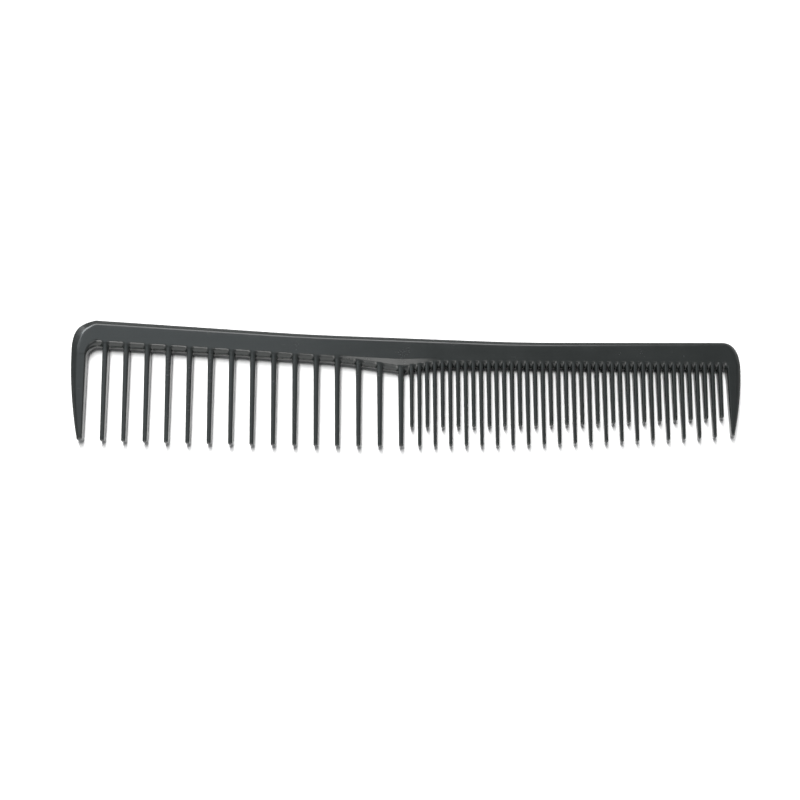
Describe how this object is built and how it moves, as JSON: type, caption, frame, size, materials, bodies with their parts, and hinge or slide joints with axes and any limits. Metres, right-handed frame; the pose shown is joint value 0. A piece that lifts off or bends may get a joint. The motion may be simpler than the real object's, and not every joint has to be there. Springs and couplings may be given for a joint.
{
  "type": "hair comb",
  "caption": "Flat barber's cutting comb with a straight bevelled spine, widely spaced coarse teeth, closely spaced fine teeth of alternating length and an end guard at each end.",
  "frame": {"origin": "centre of the outline, on the flat rear face that the comb lies on", "axes": "+X along the comb from the coarse teeth to the fine teeth, +Y from the tooth tips towards the back of the spine, +Z out of the front face"},
  "size_m": [0.18, 0.0342, 0.004],
  "materials": {
    "comb_plastic": "semi-gloss charcoal grey moulded plastic with faint flow streaks and fine handling scratches"
  },
  "bodies": {
    "root": {"spine": "comb_plastic", "coarse_end_guard": "comb_plastic", "fine_end_guard": "comb_plastic", "coarse_tooth_01": "comb_plastic", "coarse_tooth_02": "comb_plastic", "coarse_tooth_03": "comb_plastic", "coarse_tooth_04": "comb_plastic", "coarse_tooth_05": "comb_plastic", "coarse_tooth_06": "comb_plastic", "coarse_tooth_07": "comb_plastic", "coarse_tooth_08": "comb_plastic", "coarse_tooth_09": "comb_plastic", "coarse_tooth_10": "comb_plastic", "coarse_tooth_11": "comb_plastic", "coarse_tooth_12": "comb_plastic", "coarse_tooth_13": "comb_plastic", "coarse_tooth_14": "comb_plastic", "divider_tooth": "comb_plastic", "fine_short_tooth_01": "comb_plastic", "fine_long_tooth_01": "comb_plastic", "fine_short_tooth_02": "comb_plastic", "fine_long_tooth_02": "comb_plastic", "fine_short_tooth_03": "comb_plastic", "fine_long_tooth_03": "comb_plastic", "fine_short_tooth_04": "comb_plastic", "fine_long_tooth_04": "comb_plastic", "fine_short_tooth_05": "comb_plastic", "fine_long_tooth_05": "comb_plastic", "fine_short_tooth_06": "comb_plastic", "fine_long_tooth_06": "comb_plastic", "fine_short_tooth_07": "comb_plastic", "fine_long_tooth_07": "comb_plastic", "fine_short_tooth_08": "comb_plastic", "fine_long_tooth_08": "comb_plastic", "fine_short_tooth_09": "comb_plastic", "fine_long_tooth_09": "comb_plastic", "fine_short_tooth_10": "comb_plastic", "fine_long_tooth_10": "comb_plastic", "fine_short_tooth_11": "comb_plastic", "fine_long_tooth_11": "comb_plastic", "fine_short_tooth_12": "comb_plastic", "fine_long_tooth_12": "comb_plastic", "fine_short_tooth_13": "comb_plastic", "fine_long_tooth_13": "comb_plastic", "fine_short_tooth_14": "comb_plastic", "fine_long_tooth_14": "comb_plastic", "fine_short_tooth_15": "comb_plastic", "fine_long_tooth_15": "comb_plastic", "fine_short_tooth_16": "comb_plastic", "fine_long_tooth_16": "comb_plastic", "fine_short_tooth_17": "comb_plastic", "fine_long_tooth_17": "comb_plastic", "fine_short_tooth_18": "comb_plastic", "fine_long_tooth_18": "comb_plastic", "fine_short_tooth_19": "comb_plastic", "fine_long_tooth_19": "comb_plastic", "fine_short_tooth_20": "comb_plastic", "fine_long_tooth_20": "comb_plastic", "fine_short_tooth_21": "comb_plastic"}
  },
  "joints": []
}
